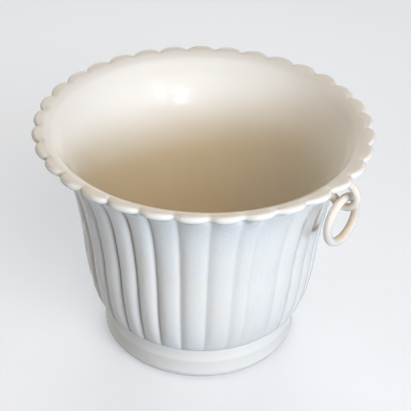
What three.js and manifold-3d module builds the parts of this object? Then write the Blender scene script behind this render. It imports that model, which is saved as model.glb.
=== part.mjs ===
// Planter pot with a fluted wall, a petalled rim, a plain foot and two loose ring handles.
// Millimetres, +Z up. The origin is on the floor, on the pot's axis. The handles lie along X.
import * as THREE from 'three';
import { mergeVertices } from 'three/addons/utils/BufferGeometryUtils.js';
import Module from 'manifold-3d';

// Pot

const RIM_RADIUS = 140;
const POT_HEIGHT = 207.4;
const FLARE = 20;
const EDGE_ROUND = 3;
const WALL = 4;
const FLOOR = 6;
const FLOOR_CORNER = 14.6;

// Petals and flutes. The crease between two petals lies deeper, lower and is rounded more tightly.

const PETALS = 33;
const PETAL_DEPTH = 5;
const CREASE_DROP = 2;
const CREASE_ROUND = 2;
const FLUTE_DEPTH = 3.6;
const SEAT_DEPTH = 1.8;

// How round a petal or flute is across its width: 1 is a shallow arc, 0 is fuller with steep sides
const ARC_SHARE = 0.6;

// Foot

const FOOT_HEIGHT = 35.4;
const FOOT_RADIUS = 86.5;
const FOOT_WALL = 10.5;
const FOOT_BEAD = 2;
const FOOT_REST = 2.8;
const FOOT_EDGE = 1.5;

// Lugs and rings. A lug's loop is placed by the top of its curve under the rim.

const LUG_RADIUS = 10.6;
const LUG_TUBE = 3.1;
const LUG_INSET = 5.9;
const LUG_DROP = 5.6;
const RING_RADIUS = 18.5;
const RING_TUBE = 3.35;
const RING_TURN = -5;

// Clearances

const SEAT_GAP = 0.3;
const RUN_GAP = 0.3;

// Facets

const STEPS_PER_PETAL = 5;
const WALL_ROWS = 10;
const INSIDE_ROWS = 5;
const FOOT_STEPS = 72;
const RING_STEPS = 40;
const LUG_STEPS = 30;
const TUBE_STEPS = 12;

const QUARTER = Math.PI / 2;
const PITCH = 2 * Math.PI / PETALS;
const CREASE_ANGLE = PITCH / 4;
const WALL_BASE = FOOT_HEIGHT + SEAT_GAP;
const LUG_REACH = RIM_RADIUS - LUG_INSET;
const LUG_LEVEL = POT_HEIGHT - LUG_DROP - LUG_RADIUS;

// The crown line of a flute, from the foot to the flare under the rim:
// share of the wall's height, share of the rim's radius
const CROWN = [
  [0, 0.642],
  [0.06, 0.673],
  [0.16, 0.704],
  [0.3, 0.726],
  [0.45, 0.74],
  [0.6, 0.765],
  [0.72, 0.793],
  [0.82, 0.833],
  [0.9, 0.884],
];

// The flutes run out towards the foot over this share of the wall's height
const RUN_OUT_SHARE = 0.14;

// The flare under the rim, from the wall's last row to the rounded edge. Each row gives the crown's
// and the crease's distance in from the rim's radius and down from its height, as shares of the flare.
const UNDERSIDE = [
  [0.58, 0.62, 0.78, 0.53],
  [0.34, 0.42, 0.54, 0.36],
];

// The top of the rim, from the rounded edge to the inside wall, in the same way
const TOPSIDE = [
  [0.29, 0.015, 0.38, 0.105],
  [0.47, 0.055, 0.5, 0.085],
  [0.66, 0.16, 0.66, 0.16],
  [0.83, 0.3, 0.83, 0.3],
  [1.02, 0.6, 1.02, 0.6],
  [1.26, 1.03, 1.26, 1.03],
];

// Where the rounded edge has its rows, in degrees up from level
const EDGE_TURNS = [-60, 0, 50, 90];

// The hollow corner between the inside wall and the floor, as shares of its size: in, up
const CORNER = [
  [0.25, 0.35],
  [0.75, 0.06],
  [1.3, 0],
];

// The foot's outline with its two beads: share of the foot's height, and how many bead depths it
// lies in from the widest. Its top is drawn out to the wall by the glaze.
const FOOT_OUTLINE = [
  [0.02, 2.6],
  [0.06, 1.55],
  [0.13, 0.84],
  [0.22, 0.54],
  [0.3, 0.5],
  [0.38, 0.56],
  [0.46, 0.5],
  [0.54, 0.34],
  [0.61, 0.24],
  [0.7, 0.28],
  [0.82, 0.42],
  [0.93, 0.36],
];

// Creases that were pressed to one side of their even places, below the flare: number, degrees
const LEANS = new Map([
  [24, 1],
  [25, 0.4],
  [27, 0.6],
  [28, 1.9],
  [29, 2.3],
  [30, -0.4],
  [32, 1],
]);

// A lug's coil runs from inside the rim round to the wall: degrees up from level
const LUG_TURNS = [112, 96, 72, 48, 24, 0, -24, -48, -72, -96, -120];

const wasm = await Module();
wasm.setup();

const crownCurve = new THREE.SplineCurve(CROWN.map(([up, out]) =>
  new THREE.Vector2(out * RIM_RADIUS, WALL_BASE + up * (POT_HEIGHT - WALL_BASE))));

// A row holds the crown's and the crease's place in the plane through the axis

function row(crownRadius, crownHeight, creaseRadius = crownRadius, creaseHeight = crownHeight) {
  return {
    crown: new THREE.Vector2(crownRadius, crownHeight),
    crease: new THREE.Vector2(creaseRadius, creaseHeight),
  };
}

function wallRow({ x, y }) {
  const up = (y - WALL_BASE) / (POT_HEIGHT - WALL_BASE);
  const full = THREE.MathUtils.smoothstep(up, 0, RUN_OUT_SHARE);
  return row(x, y, x - THREE.MathUtils.lerp(SEAT_DEPTH, FLUTE_DEPTH, full), y);
}

function rimRow([crownIn, crownDown, creaseIn, creaseDown]) {
  return row(
    RIM_RADIUS - crownIn * FLARE,
    POT_HEIGHT - crownDown * FLARE,
    RIM_RADIUS - creaseIn * FLARE,
    POT_HEIGHT - creaseDown * FLARE,
  );
}

function edgeRow(degrees) {
  const turn = THREE.MathUtils.degToRad(degrees);
  const crownCentre = RIM_RADIUS - EDGE_ROUND;
  const creaseCentre = RIM_RADIUS - PETAL_DEPTH - CREASE_ROUND;
  const creaseLevel = POT_HEIGHT - CREASE_ROUND - CREASE_DROP;
  return row(
    crownCentre + EDGE_ROUND * Math.cos(turn),
    POT_HEIGHT - EDGE_ROUND + EDGE_ROUND * Math.sin(turn),
    creaseCentre + CREASE_ROUND * Math.cos(turn),
    creaseLevel + CREASE_ROUND * Math.sin(turn),
  );
}

// Outside of the pot, from the seat on the foot to the rim's rounded edge

function outsideRows() {
  return [
    ...crownCurve.getPoints(WALL_ROWS).map(wallRow),
    ...UNDERSIDE.map(rimRow),
    ...EDGE_TURNS.map(edgeRow),
  ];
}

// Inside of the pot, from the rim's top down to the floor's middle

function insideRows() {
  const top = POT_HEIGHT - TOPSIDE.at(-1)[1] * FLARE;
  const floorTop = WALL_BASE + FLOOR;
  const low = floorTop + FLOOR_CORNER;
  const rows = TOPSIDE.map(rimRow);
  for (let i = 1; i <= INSIDE_ROWS; i += 1) {
    const height = THREE.MathUtils.lerp(top, low, i / INSIDE_ROWS);
    rows.push(row(crownRadiusAt(height) - FLUTE_DEPTH - WALL, height));
  }
  const wallRadius = rows.at(-1).crown.x;
  for (const [inward, up] of CORNER) {
    rows.push(row(wallRadius - inward * FLOOR_CORNER, floorTop + up * FLOOR_CORNER));
  }
  rows.push(row(0, floorTop));
  return rows;
}

function crownRadiusAt(height) {
  let low = 0;
  let high = 1;
  for (let i = 0; i < 40; i += 1) {
    const middle = (low + high) / 2;
    if (crownCurve.getPoint(middle).y < height) {
      low = middle;
    } else {
      high = middle;
    }
  }
  return crownCurve.getPoint(low).x;
}

// 0 on a petal's middle line, 1 on the crease between two petals. A turn counts petals round the rim.

function creaseShare(turn) {
  const across = 2 * Math.abs(turn - Math.floor(turn) - 0.5);
  return ARC_SHARE * across ** 2 + (1 - ARC_SHARE) * across ** 4;
}

// How far a place on the wall is turned aside by its leaning creases, which stand true at the rim

function leanAt(turn, height) {
  const crease = Math.floor(turn);
  const here = LEANS.get(crease % PETALS) ?? 0;
  const next = LEANS.get((crease + 1) % PETALS) ?? 0;
  const below = 1 - THREE.MathUtils.smoothstep(height, POT_HEIGHT - FLARE, POT_HEIGHT - FLARE / 2);
  return THREE.MathUtils.degToRad(THREE.MathUtils.lerp(here, next, turn - crease)) * below;
}

// Revolves the rows' crown line and draws each vertex in towards the crease line by its turn

function flutedLathe(rows) {
  const steps = PETALS * STEPS_PER_PETAL;
  const geometry = new THREE.LatheGeometry(rows.map((r) => r.crown), steps, CREASE_ANGLE + QUARTER);
  geometry.rotateX(QUARTER);
  const position = geometry.getAttribute('position');
  for (let i = 0; i < position.count; i += 1) {
    const { crown, crease } = rows[i % rows.length];
    const turn = Math.floor(i / rows.length) / STEPS_PER_PETAL;
    const share = creaseShare(turn);
    const radius = THREE.MathUtils.lerp(crown.x, crease.x, share);
    const height = THREE.MathUtils.lerp(crown.y, crease.y, share);
    const angle = CREASE_ANGLE + turn * PITCH + leanAt(turn, height);
    position.setXYZ(i, radius * Math.cos(angle), radius * Math.sin(angle), height);
  }
  return geometry;
}

// Welds a geometry, drops the triangles that have no area and turns its faces outward

function toSolid(geometry) {
  const bare = new THREE.BufferGeometry();
  bare.setAttribute('position', geometry.getAttribute('position').clone());
  bare.setIndex(geometry.getIndex());
  const welded = mergeVertices(bare, 1e-4);
  const vertices = welded.getAttribute('position').array;
  const index = welded.getIndex().array;
  const corner = (i) => new THREE.Vector3().fromArray(vertices, 3 * i);
  const kept = [];
  let volume = 0;
  for (let i = 0; i < index.length; i += 3) {
    const [a, b, c] = index.slice(i, i + 3);
    if (a !== b && b !== c && c !== a) {
      kept.push([a, b, c]);
      volume += corner(a).dot(corner(b).cross(corner(c)));
    }
  }
  const turned = volume < 0 ? kept.map(([a, b, c]) => [a, c, b]) : kept;
  const mesh = new wasm.Mesh({
    numProp: 3,
    vertProperties: new Float32Array(vertices),
    triVerts: new Uint32Array(turned.flat()),
  });
  return new wasm.Manifold(mesh);
}

function toMesh(name, solid, finish) {
  const { vertProperties, triVerts } = solid.getMesh();
  const geometry = new THREE.BufferGeometry();
  geometry.setAttribute('position', new THREE.BufferAttribute(new Float32Array(vertProperties), 3));
  geometry.setIndex(new THREE.BufferAttribute(new Uint32Array(triVerts), 1));
  geometry.computeVertexNormals();
  const mesh = new THREE.Mesh(geometry, new THREE.MeshStandardMaterial({ metalness: 0, ...finish }));
  mesh.name = name;
  return mesh;
}

// Moves a line of the profile out along its own normals

function grownLine(points, by) {
  return points.map((point, i) => {
    const before = points[Math.max(i - 1, 0)];
    const after = points[Math.min(i + 1, points.length - 1)];
    const along = after.clone().sub(before).normalize();
    return new THREE.Vector2(point.x + by * along.y, point.y - by * along.x);
  });
}

// The pot's outside with the seat's gap added, closed over the mouth: what a lug is cut back by

function seatCutter() {
  const rows = outsideRows();
  const crowns = grownLine(rows.map((r) => r.crown), SEAT_GAP);
  const creases = grownLine(rows.map((r) => r.crease), SEAT_GAP);
  const grown = rows.map((r, i) => ({ crown: crowns[i], crease: creases[i] }));
  const lid = POT_HEIGHT + SEAT_GAP;
  return toSolid(flutedLathe([row(0, WALL_BASE), ...grown, row(0, lid)]));
}

function potBody() {
  return toSolid(flutedLathe([row(0, WALL_BASE), ...outsideRows(), ...insideRows()]));
}

function footRing() {
  const inner = FOOT_RADIUS - FOOT_WALL;
  const outline = FOOT_OUTLINE.map(([up, depths]) => [FOOT_RADIUS - depths * FOOT_BEAD, up * FOOT_HEIGHT]);
  const profile = [
    [inner + FOOT_EDGE, 0],
    [inner + FOOT_EDGE + FOOT_REST, 0],
    ...outline,
    [FOOT_RADIUS, FOOT_HEIGHT],
    [inner, FOOT_HEIGHT],
    [inner, FOOT_EDGE],
  ];
  const points = [...profile, profile[0]].map(([x, y]) => new THREE.Vector2(x, y));
  const geometry = new THREE.LatheGeometry(points, FOOT_STEPS);
  geometry.rotateX(QUARTER);
  return toSolid(geometry);
}

// A handle is shaped at the right and half a turn brings it to the left

function toSide(geometry, side) {
  return side < 0 ? geometry.rotateZ(Math.PI) : geometry;
}

// A coil of clay: it starts inside the rim, hangs round in a loop and is pressed on the wall

function lug(side, cutter) {
  const points = LUG_TURNS.map((degrees) => {
    const turn = THREE.MathUtils.degToRad(degrees);
    const out = LUG_RADIUS * Math.cos(turn);
    const up = LUG_RADIUS * Math.sin(turn);
    return new THREE.Vector3(LUG_REACH + out, 0, LUG_LEVEL + up);
  });
  const seat = LUG_LEVEL - LUG_TUBE;
  points.push(new THREE.Vector3(crownRadiusAt(seat) - FLUTE_DEPTH / 2, 0, seat));
  const section = new THREE.Shape().absarc(0, 0, LUG_TUBE, 0, 2 * Math.PI);
  const coil = new THREE.ExtrudeGeometry(section, {
    steps: LUG_STEPS,
    curveSegments: TUBE_STEPS / 2,
    extrudePath: new THREE.CatmullRomCurve3(points),
  });
  return toSolid(toSide(coil, side)).subtract(cutter);
}

// The ring hangs with its tube resting low in the lug's loop, turned a little out of square

function ring(side) {
  const loopBottom = LUG_LEVEL - LUG_RADIUS + LUG_TUBE;
  const tubeLevel = loopBottom + RUN_GAP + RING_TUBE;
  const loop = new THREE.TorusGeometry(RING_RADIUS, RING_TUBE, TUBE_STEPS, RING_STEPS);
  loop.rotateX(QUARTER);
  loop.rotateZ(QUARTER + THREE.MathUtils.degToRad(RING_TURN));
  loop.translate(LUG_REACH, 0, tubeLevel - RING_RADIUS);
  return toSolid(toSide(loop, side));
}

const GLAZE = { color: 0xf1efe9, roughness: 0.18 };
const FOOT_GLAZE = { color: 0xf2f0ea, roughness: 0.18 };
const LUG_GLAZE = { color: 0xf3efe6, roughness: 0.2 };
const RING_GLAZE = { color: 0xf4f1ea, roughness: 0.2 };

const cutter = seatCutter();
const pot = new THREE.Group();
pot.name = 'planter_pot';
pot.add(toMesh('pot_body', potBody(), GLAZE));
pot.add(toMesh('foot_ring', footRing(), FOOT_GLAZE));
for (const [name, side] of [['right', 1], ['left', -1]]) {
  pot.add(toMesh(`lug_${name}`, lug(side, cutter), LUG_GLAZE));
  pot.add(toMesh(`ring_${name}`, ring(side), RING_GLAZE));
}

export default pot;
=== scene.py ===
import math

import bpy
import numpy as np
from mathutils import Euler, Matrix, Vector


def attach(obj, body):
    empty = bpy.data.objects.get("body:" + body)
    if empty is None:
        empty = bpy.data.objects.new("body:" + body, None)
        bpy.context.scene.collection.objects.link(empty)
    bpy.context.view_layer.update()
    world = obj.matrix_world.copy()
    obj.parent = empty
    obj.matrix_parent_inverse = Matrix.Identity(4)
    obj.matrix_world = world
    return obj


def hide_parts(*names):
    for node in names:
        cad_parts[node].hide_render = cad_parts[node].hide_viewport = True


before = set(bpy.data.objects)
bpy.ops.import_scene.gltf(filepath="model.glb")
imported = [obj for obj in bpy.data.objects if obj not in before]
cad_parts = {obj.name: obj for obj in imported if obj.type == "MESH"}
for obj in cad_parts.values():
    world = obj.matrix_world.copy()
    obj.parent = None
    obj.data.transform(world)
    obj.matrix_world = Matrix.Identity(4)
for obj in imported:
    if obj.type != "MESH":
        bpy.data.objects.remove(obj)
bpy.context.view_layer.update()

# Sizes of the pot, in metres. Apart from the undercut, they are the ones that the solids have.

MM = 0.001
RIM_RADIUS = 140 * MM
POT_HEIGHT = 207.4 * MM
FLARE = 20 * MM
EDGE_ROUND = 3 * MM
WALL = 4 * MM
FLOOR = 6 * MM
FLOOR_CORNER = 14.6 * MM

PETALS = 33
PETAL_DEPTH = 5 * MM
CREASE_DROP = 2 * MM
CREASE_ROUND = 2 * MM
FLUTE_DEPTH = 3.6 * MM
SEAT_DEPTH = 1.8 * MM
# how far the wall's lower edge is rounded under, and over what height
UNDERCUT = 1.6 * MM
UNDERCUT_HEIGHT = 4 * MM
# how round a petal or flute is across its width
ARC_SHARE = 0.6
PITCH = 2 * math.pi / PETALS
# the first crease lies a quarter of a petal past the right handle
CREASE_ANGLE = PITCH / 4

FOOT_HEIGHT = 35.4 * MM
FOOT_RADIUS = 86.5 * MM
FOOT_WALL = 10.5 * MM
FOOT_BEAD = 2 * MM
FOOT_REST = 2.8 * MM
FOOT_EDGE = 1.5 * MM
SEAT_GAP = 0.3 * MM
WALL_BASE = FOOT_HEIGHT + SEAT_GAP

LUG_RADIUS = 10.6 * MM
LUG_TUBE = 3.1 * MM
LUG_INSET = 5.9 * MM
LUG_DROP = 5.6 * MM
LUG_REACH = RIM_RADIUS - LUG_INSET
LUG_LEVEL = POT_HEIGHT - LUG_DROP - LUG_RADIUS
RING_RADIUS = 18.5 * MM
RING_TUBE = 3.35 * MM
RING_TURN = math.radians(-5)
RUN_GAP = 0.3 * MM
RING_PIVOT = LUG_LEVEL - LUG_RADIUS + LUG_TUBE + RUN_GAP + RING_TUBE

# How finely the skins are drawn
STEPS_PER_PETAL = 18
END_ROWS = 12
MIDDLE_ROWS = 7
FOOT_COLUMNS = 264
RING_STEPS = 160
RING_SIDES = 32
LUG_SIDES = 28

RNG = np.random.default_rng(7)


# Helpers

def srgb(code):
    """The linear colour of a hex code such as "f1efe9"."""
    parts = [int(code[i:i + 2], 16) / 255 for i in (0, 2, 4)]
    return tuple(c / 12.92 if c <= 0.04045 else ((c + 0.055) / 1.055) ** 2.4 for c in parts) + (1.0,)


def smoothstep(x, low, high):
    """0 below low, 1 above high, 3t^2 - 2t^3 between."""
    t = np.clip((x - low) / (high - low), 0, 1)
    return t * t * (3 - 2 * t)


def catmull(points, spans):
    """A Catmull-Rom curve through points, with the given number of samples in each span."""
    p = np.asarray(points, float)
    p = np.vstack([2 * p[0] - p[1], p, 2 * p[-1] - p[-2]])
    out = []
    for i in range(1, len(p) - 2):
        t = (np.arange(spans[i - 1]) / spans[i - 1])[:, None]
        a, b, c, d = p[i - 1], p[i], p[i + 1], p[i + 2]
        out.append(0.5 * (2 * b + (c - a) * t + (2 * a - 5 * b + 4 * c - d) * t ** 2
                          + (3 * b - a - 3 * c + d) * t ** 3))
    return np.vstack(out + [p[-2:-1]])


def add_mesh(name, verts, faces, smooth=True):
    """A Blender object of the given vertices and faces, at the origin."""
    mesh = bpy.data.meshes.new(name)
    mesh.from_pydata(np.asarray(verts).tolist(), [], faces)
    mesh.polygons.foreach_set("use_smooth", [smooth] * len(mesh.polygons))
    mesh.update()
    obj = bpy.data.objects.new(name, mesh)
    bpy.context.scene.collection.objects.link(obj)
    return obj


def grid_piece(name, grid, capped, **layers):
    """A closed skin over a (rows, columns, 3) grid whose columns wrap around. Each layer is an array of
    (rows, columns) numbers that the piece's material reads by name.

    Vertex (i, j) is grid[i, j] and a quad joins it to (i, j+1), (i+1, j+1), (i+1, j). The first and
    last rows are closed by a fan to their own middle when capped, and joined to each other otherwise."""
    rows, cols = grid.shape[:2]
    i, j = np.meshgrid(np.arange(rows - 1 if capped else rows), np.arange(cols), indexing="ij")
    k = (j + 1) % cols
    n = (i + 1) % rows
    quads = np.stack([i * cols + j, i * cols + k, n * cols + k, n * cols + j], -1)
    faces = quads.reshape(-1, 4).tolist()
    verts = grid.reshape(-1, 3)
    if capped:
        first = len(verts)
        last = (rows - 1) * cols
        verts = np.vstack([verts, grid[0].mean(0), grid[-1].mean(0)])
        faces += [(first, (m + 1) % cols, m) for m in range(cols)]
        faces += [(first + 1, last + m, last + (m + 1) % cols) for m in range(cols)]
    piece = add_mesh(name, verts, faces)
    for label, numbers in layers.items():
        values = np.zeros(len(verts), np.float32)
        values[:rows * cols] = numbers.ravel()
        piece.data.attributes.new(label, "FLOAT", "POINT").data.foreach_set("value", values)
    return piece


# The fluted wall with its petalled rim

# The crown line of a flute, as in the solids: share of the wall's height, share of the rim's radius
CROWN = ((0, 0.642), (0.06, 0.673), (0.16, 0.704), (0.3, 0.726), (0.45, 0.74), (0.6, 0.765),
         (0.72, 0.793), (0.82, 0.833), (0.9, 0.884))
# The flutes run out towards the foot over this share of the wall's height
RUN_OUT_SHARE = 0.14
# Under and over the rim: crown in, crown down, crease in, crease down, as shares of the flare
UNDERSIDE = ((0.58, 0.62, 0.78, 0.53), (0.34, 0.42, 0.54, 0.36))
TOPSIDE = ((0.29, 0.015, 0.38, 0.105), (0.47, 0.055, 0.5, 0.085), (0.66, 0.16, 0.66, 0.16),
           (0.83, 0.3, 0.83, 0.3), (1.02, 0.6, 1.02, 0.6), (1.26, 1.03, 1.26, 1.03))
# Where the rim's rounded edge has its rows, in degrees up from level
EDGE_TURNS = (-60, -30, 0, 30, 60, 90)
# The hollow corner round the floor, as shares of its size: in, up
CORNER = ((0.25, 0.35), (0.75, 0.06), (1.3, 0))
# By number, where a crease isn't like the others: pressed aside below the flare, in degrees
LEANS = {0: 1, 24: 1, 25: 0.4, 27: 0.3, 28: 1.5, 29: 2, 30: -1.6, 31: 2, 32: 2.2}
# the share of its depth that it keeps under the glaze, which ran thick on the pot's front right and
# thin on its front left
KEPT = {0: 0.7, 1: 0.85, 22: 1.1, 23: 1.15, 24: 1.15, 25: 1.1, 27: 0.8, 28: 0.6, 29: 0.36, 30: 0.34,
        31: 0.45, 32: 0.6}
# and how wide its bottom is rounded by glaze, as a share of half a petal
FILLED = {0: 0.08, 26: 0.05, 27: 0.09, 28: 0.14, 29: 0.2, 30: 0.2, 31: 0.16, 32: 0.12}


def flute_depth(z):
    """How deep a crease lies at height z: it runs out towards the foot as a smooth step, and the glaze
    that gathered on the foot closes its last few millimetres."""
    share = smoothstep((z - WALL_BASE) / (POT_HEIGHT - WALL_BASE), 0, RUN_OUT_SHARE)
    gathered = smoothstep(z, WALL_BASE - 1 * MM, WALL_BASE + 5 * MM)
    return (SEAT_DEPTH + (FLUTE_DEPTH - SEAT_DEPTH) * share) * gathered


def wall_rows():
    """Rows of (crown radius, crown height, crease radius, crease height): up the outside from the
    seat, over the rim's rounded edge, down the inside and in to the floor's middle."""
    crown = [(out * RIM_RADIUS, WALL_BASE + up * (POT_HEIGHT - WALL_BASE)) for up, out in CROWN]
    outside = catmull(crown, [END_ROWS] + [MIDDLE_ROWS] * (len(crown) - 3) + [END_ROWS])
    depth = flute_depth(outside[:, 1])
    # the lower edge is rounded under, as undercut (1 - t)^2 of the way t up the undercut's height
    under = np.clip((outside[:, 1] - WALL_BASE) / UNDERCUT_HEIGHT, 0, 1)
    outside[:, 0] -= UNDERCUT * (1 - under) ** 2
    wall = np.stack([outside[:, 0], outside[:, 1], outside[:, 0] - depth, outside[:, 1]], -1)

    def rim(shares):
        a, b, c, d = (FLARE * share for share in shares)
        return RIM_RADIUS - a, POT_HEIGHT - b, RIM_RADIUS - c, POT_HEIGHT - d

    def edge(degrees):
        c, s = math.cos(math.radians(degrees)), math.sin(math.radians(degrees))
        return (RIM_RADIUS - EDGE_ROUND + EDGE_ROUND * c, POT_HEIGHT - EDGE_ROUND + EDGE_ROUND * s,
                RIM_RADIUS - PETAL_DEPTH - CREASE_ROUND + CREASE_ROUND * c,
                POT_HEIGHT - CREASE_DROP - CREASE_ROUND + CREASE_ROUND * s)

    low = WALL_BASE + FLOOR + FLOOR_CORNER
    top = POT_HEIGHT - TOPSIDE[-1][1] * FLARE
    heights = np.linspace(top, low, 6)[1:]
    inner = np.interp(heights, outside[:, 1], outside[:, 0]) - FLUTE_DEPTH - WALL
    rest = [wall[-END_ROWS // 2], wall[-1]] + [rim(s) for s in UNDERSIDE] + [edge(d) for d in EDGE_TURNS]
    rest += [rim(s) for s in TOPSIDE] + [(r, z) * 2 for r, z in zip(inner, heights)]
    rest += [(inner[-1] - a * FLOOR_CORNER, low - (1 - b) * FLOOR_CORNER) * 2 for a, b in CORNER]
    rest += [(20 * MM, WALL_BASE + FLOOR) * 2, (1 * MM, WALL_BASE + FLOOR) * 2]
    curve = catmull(rest, [4] * (len(rest) - 1))
    # the seat is rounded off a little, where the glaze draws round it
    r, z, rc = wall[0, :3]
    seat = [(1 * MM, z, 1 * MM, z),
            (r - 4 * MM, z, rc - 4 * MM, z),
            (r - 0.8 * MM, z, rc - 0.8 * MM, z),
            (r - 0.2 * MM, z + 0.25 * MM, rc - 0.2 * MM, z + 0.25 * MM)]
    return np.vstack([seat, wall[1:-1], curve[4:]])


def by_crease(table, plain):
    """One value for each crease, the first one again at the end: the table's, or else the plain one."""
    return np.array([table.get(number % PETALS, plain) for number in range(PETALS + 1)])


def fluted_skin(rows, per_petal):
    """The skin P(angle, s) = crown(s) + g(angle) (crease(s) - crown(s)) turned about Z. g goes from 0 on
    a petal's middle to 1 on a crease as 0.6 t^2 + 0.4 t^4 of the way t, and glaze rounds its peak. With
    it come two layers: painted shade along the creases, and where it was brushed on."""
    cols = PETALS * per_petal
    turn = np.arange(cols) / per_petal
    petal = np.floor(turn).astype(int)

    def between(values):
        return values[petal] + (values[petal + 1] - values[petal]) * (turn - petal)

    from_crease = 1 - 2 * np.abs(turn - petal - 0.5)
    fill = by_crease(FILLED, 0.03)[np.round(turn).astype(int)]
    t = 1 - (np.hypot(from_crease, fill) - fill) / (np.hypot(1, fill) - fill)
    g = ARC_SHARE * t ** 2 + (1 - ARC_SHARE) * t ** 4
    # below the flare the glaze leaves only a share of the depth
    height = rows[:, 1:2] + 0 * g
    kept = between(by_crease(KEPT, 1.0))
    g = g * (kept + (1 - kept) * smoothstep(height, POT_HEIGHT - 1.5 * FLARE, POT_HEIGHT - 0.8 * FLARE))
    r = rows[:, 0:1] + (rows[:, 2:3] - rows[:, 0:1]) * g
    z = rows[:, 1:2] + (rows[:, 3:4] - rows[:, 1:2]) * g
    lean = np.radians(between(by_crease(LEANS, 0.0)))
    lean = lean * (1 - smoothstep(z, POT_HEIGHT - FLARE, POT_HEIGHT - FLARE / 2))
    angle = CREASE_ANGLE + turn * PITCH + lean
    # no two petals were trimmed quite alike
    trim = MM * (0.15 + 0.5 * RNG.random(PETALS))
    at_rim = smoothstep(z, POT_HEIGHT - 14 * MM, POT_HEIGHT - 5 * MM)
    at_rim = at_rim * smoothstep(r, RIM_RADIUS - 12 * MM, RIM_RADIUS - 4 * MM)
    r = r - trim[petal] * np.sin(math.pi * from_crease / 2) * at_rim
    z = z - 0.08 * MM * at_rim
    brushed = (rows[:, 0:1] - rows[:, 2:3] > 0.2 * MM) * (height < POT_HEIGHT - FLARE / 2)
    # painted shade along each crease, strongest where the crease is kept deepest, on the pot's front
    # left
    pooled = np.exp(-(from_crease / 0.1) ** 2) * kept ** 2 * brushed
    return np.stack([r * np.cos(angle), r * np.sin(angle), z], -1), pooled, brushed + 0 * g


# The plain foot

# Its outline: share of its height, and how many bead depths it lies in from the widest
FOOT_OUTLINE = ((0.004, 3.2), (0.03, 2.3), (0.08, 1.15), (0.14, 0.55), (0.2, 0.24), (0.25, 0.2),
                (0.31, 0.27), (0.38, 0.28), (0.46, 0.25), (0.54, 0.18), (0.6, 0.14), (0.66, 0.27),
                (0.72, 0.41), (0.79, 0.48), (0.86, 0.5), (0.93, 0.48))


def foot_skin(columns):
    """The foot's closed outline (r, z) turned about Z. Its top edge is drawn up to the wall by glaze."""
    inner = FOOT_RADIUS - FOOT_WALL
    beads = [(FOOT_RADIUS - depths * FOOT_BEAD, up * FOOT_HEIGHT) for up, depths in FOOT_OUTLINE]
    outline = catmull([(inner + FOOT_EDGE + FOOT_REST, 0)] + beads + [(FOOT_RADIUS, FOOT_HEIGHT)],
                      [4] * (len(beads) + 1))
    drawn_up = WALL_BASE - 0.02 * MM
    top = [(FOOT_RADIUS + 0.4 * MM, drawn_up), (inner + 2 * MM, drawn_up), (inner, FOOT_HEIGHT - MM)]
    bottom = [(inner, FOOT_EDGE), (inner + 0.45 * FOOT_EDGE, 0.45 * FOOT_EDGE), (inner + FOOT_EDGE, 0)]
    points = np.vstack([outline, top, bottom])
    angle = np.arange(columns) * 2 * math.pi / columns
    r = points[:, 0:1]
    return np.stack([r * np.cos(angle), r * np.sin(angle), points[:, 1:2] + 0 * angle], -1)


# The handles. Each is shaped at the right, and half a turn about the pot's axis brings it to the left.

LUG_TURNS = (112, 96, 72, 48, 24, 0, -24, -48, -72, -96, -120)


def to_side(grid, side):
    """The grid as it is for side 1, or half a turn round for side -1."""
    return grid * np.array([side, side, 1.0])


def tube_skin(path, across, radius, sides):
    """A round tube along a path that lies in one plane: P = path + radius (cos a u - sin a across),
    with u square to both the path and across."""
    along = np.gradient(path, axis=0)
    along /= np.linalg.norm(along, axis=1)[:, None]
    u = np.cross(along, across)
    a = np.arange(sides) * 2 * math.pi / sides
    spoke = np.cos(a)[None, :, None] * u[:, None, :] - np.sin(a)[None, :, None] * np.asarray(across)
    return path[:, None, :] + spoke * np.asarray(radius)[:, None, None]


def inner_side(grid):
    """Painted shade round a bent tube: 0.6 (-cos a)^1.5 on the inside of its bend, where shade falls, 0
    outside.
    """
    steps, sides = grid.shape[:2]
    a = np.arange(sides) * 2 * math.pi / sides
    return np.tile(0.6 * np.clip(-np.cos(a), 0, 1) ** 1.5, (steps, 1))


def lug_skin(side):
    """A rolled coil of clay: its path starts inside the rim, hangs round in a loop and is drawn to the
    wall, and its tube swells at both ends, where it was pressed on."""
    turns = np.radians(LUG_TURNS)
    x = LUG_REACH + LUG_RADIUS * np.cos(turns)
    z = LUG_LEVEL + LUG_RADIUS * np.sin(turns)
    seat = LUG_LEVEL - LUG_TUBE
    crown = catmull([(out * RIM_RADIUS, WALL_BASE + up * (POT_HEIGHT - WALL_BASE)) for up, out in CROWN],
                    [END_ROWS] * (len(CROWN) - 1))
    wall_radius = np.interp(seat, crown[:, 1], crown[:, 0])
    x = np.append(x, wall_radius - FLUTE_DEPTH / 2)
    z = np.append(z, seat)
    path = catmull(np.stack([x, 0 * x, z], -1), [8] * len(turns))
    s = np.linspace(0, 1, len(path))
    swell = 1 + 0.1 * np.exp(-(s / 0.12) ** 2) + 0.3 * np.exp(-((1 - s) / 0.1) ** 2)
    grid = tube_skin(path, (0, 1.0, 0), LUG_TUBE * swell * (0.99 + 0.01 * np.sin(9 * s + 1)), LUG_SIDES)
    return to_side(grid, side)


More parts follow.
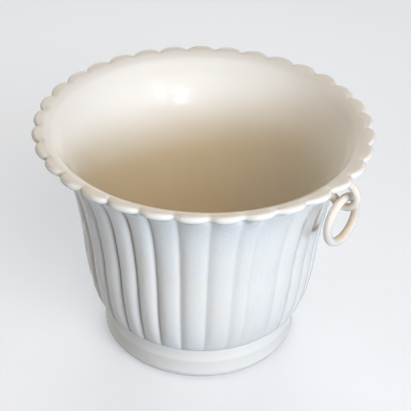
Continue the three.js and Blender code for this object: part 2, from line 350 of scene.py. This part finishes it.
def ring_skin(side):
    """The loose ring: a torus that hangs from the lug, turned a little out of square. Its tube and its
    width change slowly along the turn, as a hand-rolled ring's do."""
    turn = np.arange(RING_STEPS) * 2 * math.pi / RING_STEPS
    wide = RING_RADIUS * (1 + 0.006 * np.sin(2 * turn + 0.5))
    tube = RING_TUBE * (1.02 - 0.02 * np.cos(3 * turn))
    spoke = np.stack([0 * turn, np.sin(turn), np.cos(turn)], -1)
    a = np.arange(RING_SIDES) * 2 * math.pi / RING_SIDES
    grid = (wide[:, None] * spoke)[:, None, :] + tube[:, None, None] * (
        np.cos(a)[None, :, None] * spoke[:, None, :] + np.sin(a)[None, :, None] * np.array([1.0, 0, 0]))
    c, s = math.cos(RING_TURN), math.sin(RING_TURN)
    grid = grid @ np.array([[c, s, 0], [-s, c, 0], [0, 0, 1.0]])
    # it hangs a twenty-fifth longer than it is wide
    grid = (grid - np.array([0, 0, RING_RADIUS])) * np.array([1.0, 1.0, 1.04])
    return to_side(grid + np.array([LUG_REACH, 0, RING_PIVOT]), side)


# Glaze

BRUSHED = "dfe4eb"
# the grey-brown of the painted shade in the creases
CREASE_SHADE_TONE = "5f4c34"
# the warm tone of the painted shade inside the handles' bends
BEND_SHADE_TONE = "c4b083"
IRON = "9c642c"
# Where iron came through: down one crease under the right lug, to a spot
IRON_RUN = (0.109, 0.0088, 0.1545)
IRON_SPOT = (0.1055, 0.0115, 0.1405)


def node(tree, kind, inputs=(), **settings):
    """Adds a shader node, sets its properties and links or fills its inputs."""
    n = tree.nodes.new(kind)
    for key, value in settings.items():
        setattr(n, key, value)
    for key, value in dict(inputs).items():
        if hasattr(value, "is_output"):
            tree.links.new(value, n.inputs[key])
        else:
            n.inputs[key].default_value = value
    return n


def near(tree, place, middle, squeeze, full, end):
    """1 within the distance full of a place on the piece, falling to 0 at the distance end, in a space
    squeezed along its axes."""
    off = node(tree, "ShaderNodeVectorMath", {0: place, 1: middle}, operation="SUBTRACT").outputs[0]
    off = node(tree, "ShaderNodeVectorMath", {0: off, 1: squeeze}, operation="MULTIPLY").outputs[0]
    reach = node(tree, "ShaderNodeVectorMath", {0: off}, operation="LENGTH").outputs["Value"]
    return node(tree, "ShaderNodeMapRange", {"Value": reach, "From Min": full, "From Max": end,
                                             "To Min": 1.0, "To Max": 0.0}).outputs[0]


def glaze(name, tone, warm, roughness):
    """White tin glaze over earthenware, brushed on and fired: an ivory coat that clouds over a few
    centimetres, glossy and faintly waved, with upright brush marks, and painted grey-brown shade in the
    creases."""
    material = bpy.data.materials.new(name)
    material.use_nodes = True
    tree = material.node_tree
    coat = tree.nodes["Principled BSDF"]
    place = node(tree, "ShaderNodeTexCoord").outputs["Object"]
    # clouds of about 45 mm
    cloud = node(tree, "ShaderNodeTexNoise",
                 {"Vector": place, "Scale": 22.0, "Detail": 3.0}).outputs["Fac"]
    colour = node(tree, "ShaderNodeMix", {0: cloud, 6: srgb(tone), 7: srgb(warm)},
                  data_type="RGBA").outputs[2]
    # brush marks about 2.5 mm apart and five times as long
    upright = node(tree, "ShaderNodeMapping", {"Vector": place, "Scale": (1.0, 1.0, 0.2)}).outputs[0]
    brush = node(tree, "ShaderNodeTexNoise",
                 {"Vector": upright, "Scale": 400.0, "Detail": 2.0}).outputs["Fac"]
    mark = node(tree, "ShaderNodeMapRange",
                {"Value": brush, "From Min": 0.5, "From Max": 0.75, "To Max": 0.45}).outputs[0]
    brushed = node(tree, "ShaderNodeAttribute", attribute_name="brushed").outputs["Fac"]
    mark = node(tree, "ShaderNodeMath", {0: mark, 1: brushed}, operation="MULTIPLY").outputs[0]
    colour = node(tree, "ShaderNodeMix", {0: mark, 6: colour, 7: srgb(BRUSHED)},
                  data_type="RGBA").outputs[2]
    # painted shade: thin grey-brown lines along the creases
    pooled = node(tree, "ShaderNodeAttribute", attribute_name="pooled").outputs["Fac"]
    line = node(tree, "ShaderNodeMath", {0: pooled, 1: 0.6}, operation="MULTIPLY").outputs[0]
    colour = node(tree, "ShaderNodeMix", {0: line, 6: colour, 7: srgb(CREASE_SHADE_TONE)},
                  data_type="RGBA").outputs[2]
    # painted warm shade on the inside of a handle's bend
    thin = node(tree, "ShaderNodeAttribute", attribute_name="thin").outputs["Fac"]
    colour = node(tree, "ShaderNodeMix", {0: thin, 6: colour, 7: srgb(BEND_SHADE_TONE)},
                  data_type="RGBA").outputs[2]
    # iron brown that ran down one crease under the rim, and the spot where it stopped
    run = near(tree, place, IRON_RUN, (0.05, 1.0, 0.16), 1.0 * MM, 2.5 * MM)
    spot = near(tree, place, IRON_SPOT, (1.0, 0.6, 0.9), 1.6 * MM, 3.9 * MM)
    iron = node(tree, "ShaderNodeMath", {0: run, 1: spot}, operation="MAXIMUM").outputs[0]
    iron = node(tree, "ShaderNodeMath", {0: iron, 1: 0.66}, operation="MULTIPLY").outputs[0]
    iron = node(tree, "ShaderNodeMath", {0: iron, 1: brushed}, operation="MULTIPLY").outputs[0]
    colour = node(tree, "ShaderNodeMix", {0: iron, 6: colour, 7: srgb(IRON)},
                  data_type="RGBA").outputs[2]
    tree.links.new(colour, coat.inputs["Base Color"])
    # waves of about 11 mm, under a tenth of a millimetre high, beneath the brush marks
    wave = node(tree, "ShaderNodeTexNoise",
                {"Vector": place, "Scale": 90.0, "Detail": 2.0}).outputs["Fac"]
    broad = node(tree, "ShaderNodeBump",
                 {"Height": wave, "Strength": 0.12, "Distance": 0.6 * MM}).outputs["Normal"]
    fine = node(tree, "ShaderNodeBump",
                {"Height": brush, "Strength": 0.1, "Distance": 0.15 * MM,
                 "Normal": broad}).outputs["Normal"]
    tree.links.new(fine, coat.inputs["Normal"])
    coat.inputs["Roughness"].default_value = roughness
    coat.inputs["IOR"].default_value = 1.52
    return material


skin, pooled, brushed = fluted_skin(wall_rows(), STEPS_PER_PETAL)
wall = grid_piece("glazed_wall", skin, capped=True, pooled=pooled, brushed=brushed)
band = grid_piece("glazed_foot", foot_skin(FOOT_COLUMNS), capped=False)
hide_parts("pot_body")
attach(wall, "pot")
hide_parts("foot_ring")
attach(band, "pot")
white = glaze("white_glaze", "f3efe6", "efe8d9", 0.1)
for piece in (wall, band):
    piece.data.materials.append(white)
# a warmer copy of the glaze for the lugs and rings: the extra warmth is painted light, the warm light
# that falls on the pot's right side
cream = glaze("white_handle_glaze", "f1e9dc", "eaddcb", 0.14)
for label, side in (("right", 1), ("left", -1)):
    coil = lug_skin(side)
    loop = grid_piece("rolled_lug_" + label, coil, capped=True, thin=inner_side(coil))
    torus = ring_skin(side)
    loose = grid_piece("loose_ring_" + label, torus, capped=False, thin=inner_side(torus))
    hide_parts("lug_" + label)
    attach(loop, "pot")
    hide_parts("ring_" + label)
    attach(loose, "handle_" + label)
    for piece in (loop, loose):
        piece.data.materials.append(cream)


# Stage: a plain pale floor and backdrop that give back less light than they show

SHOWN = "dfe1e3"
# Bearings in degrees: the camera's from +X, and the window's to the right of it
CAMERA_BEARING = -54
WINDOW_BEARING = 29
WINDOW_HEIGHT = 0.565


def seen_or_felt(tree, seen, felt):
    """seen for rays from the camera, reflections and glass, felt for the rays that light the object."""
    path = node(tree, "ShaderNodeLightPath")
    shown = path.outputs["Is Camera Ray"]
    for kind in ("Is Glossy Ray", "Is Transmission Ray"):
        shown = node(tree, "ShaderNodeMath", {0: shown, 1: path.outputs[kind]},
                     operation="MAXIMUM").outputs[0]
    return node(tree, "ShaderNodeMix", {0: shown, 6: felt, 7: seen}, data_type="RGBA").outputs[2]


floor_mesh = add_mesh("floor", [(-30, -30, 0), (30, -30, 0), (30, 30, 0), (-30, 30, 0)],
                      [(0, 1, 2, 3)], smooth=False)
floor_look = bpy.data.materials.new("pale_floor")
floor_look.use_nodes = True
floor_tree = floor_look.node_tree
floor_coat = floor_tree.nodes["Principled BSDF"]
# far from the pot it passes into the backdrop
floor_place = node(floor_tree, "ShaderNodeTexCoord").outputs["Object"]
here = near(floor_tree, floor_place, (0, 0, 0), (1.0, 1.0, 1.0), 0.22, 0.75)
lit = node(floor_tree, "ShaderNodeMix", {0: here, 6: srgb("2a2a2a"), 7: srgb("d4d6d8")},
           data_type="RGBA").outputs[2]
glow = node(floor_tree, "ShaderNodeMix", {0: here, 6: srgb(SHOWN), 7: srgb("929496")},
            data_type="RGBA").outputs[2]
lit = seen_or_felt(floor_tree, lit, srgb("484948"))
glow = seen_or_felt(floor_tree, glow, srgb("000000"))
floor_tree.links.new(lit, floor_coat.inputs["Base Color"])
floor_tree.links.new(glow, floor_coat.inputs["Emission Color"])
floor_coat.inputs["Emission Strength"].default_value = 1.0
floor_coat.inputs["Roughness"].default_value = 0.9
floor_coat.inputs["Specular IOR Level"].default_value = 0.0
floor_mesh.data.materials.append(floor_look)


def around(degrees, distance, height):
    """A place seen from the pot's axis: degrees to the right of the camera, distance and height."""
    a = math.radians(CAMERA_BEARING + degrees)
    return (distance * math.cos(a), distance * math.sin(a), height)


def area_light(name, place, size, power, colour, mirrored=True):
    """A rectangular lamp that faces the middle of the pot, mirrored in its glaze or not."""
    lamp = bpy.data.lights.new(name, "AREA")
    lamp.shape = "RECTANGLE"
    lamp.size, lamp.size_y = size
    lamp.energy = power
    lamp.color = colour
    obj = bpy.data.objects.new(name, lamp)
    obj.location = place
    towards = Vector((0, 0, POT_HEIGHT / 2)) - Vector(place)
    obj.rotation_euler = towards.to_track_quat("-Z", "Y").to_euler()
    obj.visible_glossy = mirrored
    bpy.context.scene.collection.objects.link(obj)


# Lamps: name, place, size, power and colour. The glaze doesn't mirror them.
LAMPS = (("window", around(WINDOW_BEARING, 1.5, WINDOW_HEIGHT), (1.4, 0.35), 24.4, (0.573, 0.721, 1.0)),
         ("blind", around(WINDOW_BEARING, 1.5, 0.98), (1.4, 0.4), 5.9, (1.0, 1.0, 0.76)),
         ("lamp", around(WINDOW_BEARING, 1.2, 1.5), (1.2, 0.8), 7.4, (1.0, 0.6, 0.24)),
         ("room", around(-30, 1.6, 1.0), (1.2, 1.0), 1.9, (1.0, 0.86, 0.56)),
         ("back", around(180, 1.8, 0.7), (1.6, 1.0), 29, (0.97, 0.98, 1.0)),
         ("side", around(-115, 1.8, 0.5), (1.6, 1.0), 8, (0.97, 0.98, 1.0)))
# What it mirrors is the window as a few broken panes, just before that lamp: metres to the right of its
# middle and above it, width and height, and how bright they are.
PANES = ((0.44, 0.14, 0.06, 0.05, 5), (0.32, 0.14, 0.08, 0.06, 5), (0.2, 0.14, 0.05, 0.03, 4),
         (0.04, 0.16, 0.06, 0.04, 4.4), (-0.02, 0.12, 0.06, 0.04, 4.4), (-0.16, 0.14, 0.15, 0.07, 5.4),
         (-0.35, 0.15, 0.14, 0.07, 3.6), (-0.58, 0.19, 0.07, 0.06, 2.6), (0.36, 0.04, 0.07, 0.08, 4.2),
         (0.22, 0.04, 0.09, 0.08, 4.2), (-0.34, 0.07, 0.1, 0.03, 2.6), (-0.17, -0.07, 0.2, 0.18, 7),
         (-0.36, -0.07, 0.09, 0.15, 3.6), (-0.03, -0.08, 0.07, 0.15, 3), (0.29, -0.13, 0.5, 0.07, 2))
DAYLIGHT = (0.85, 0.93, 1.0)

for name, place, size, power, colour in LAMPS:
    area_light(name, place, size, power, colour, mirrored=False)
pane_plane = Vector(around(WINDOW_BEARING, 1.42, WINDOW_HEIGHT))
along = math.radians(CAMERA_BEARING + WINDOW_BEARING + 90)
for number, (right, up, wide, high, bright) in enumerate(PANES):
    middle = pane_plane + Vector((right * math.cos(along), right * math.sin(along), up))
    area_light("pane_%d" % number, middle, (wide, high), bright * math.pi * wide * high, DAYLIGHT)

world = bpy.data.worlds.new("studio")
bpy.context.scene.world = world
world.use_nodes = True
world_tree = world.node_tree
background = world_tree.nodes["Background"]
background.inputs["Strength"].default_value = 1.0
backdrop = seen_or_felt(world_tree, srgb(SHOWN), srgb("4b4947"))
world_tree.links.new(backdrop, background.inputs["Color"])

camera_data = bpy.data.cameras.new("camera")
camera_data.lens = 91.04
camera_data.sensor_width = 36
camera = bpy.data.objects.new("camera", camera_data)
camera.location = (0.43313, -0.59615, 0.63108)
camera.rotation_euler = Euler([math.radians(d) for d in (55.41, -1.4517, 36.7698)], "XYZ")
bpy.context.scene.collection.objects.link(camera)
bpy.context.scene.camera = camera
bpy.context.scene.view_settings.view_transform = "Standard"


def plain(box):
    """The box as plain numbers."""
    return [[float(c) for c in corner] for corner in box]
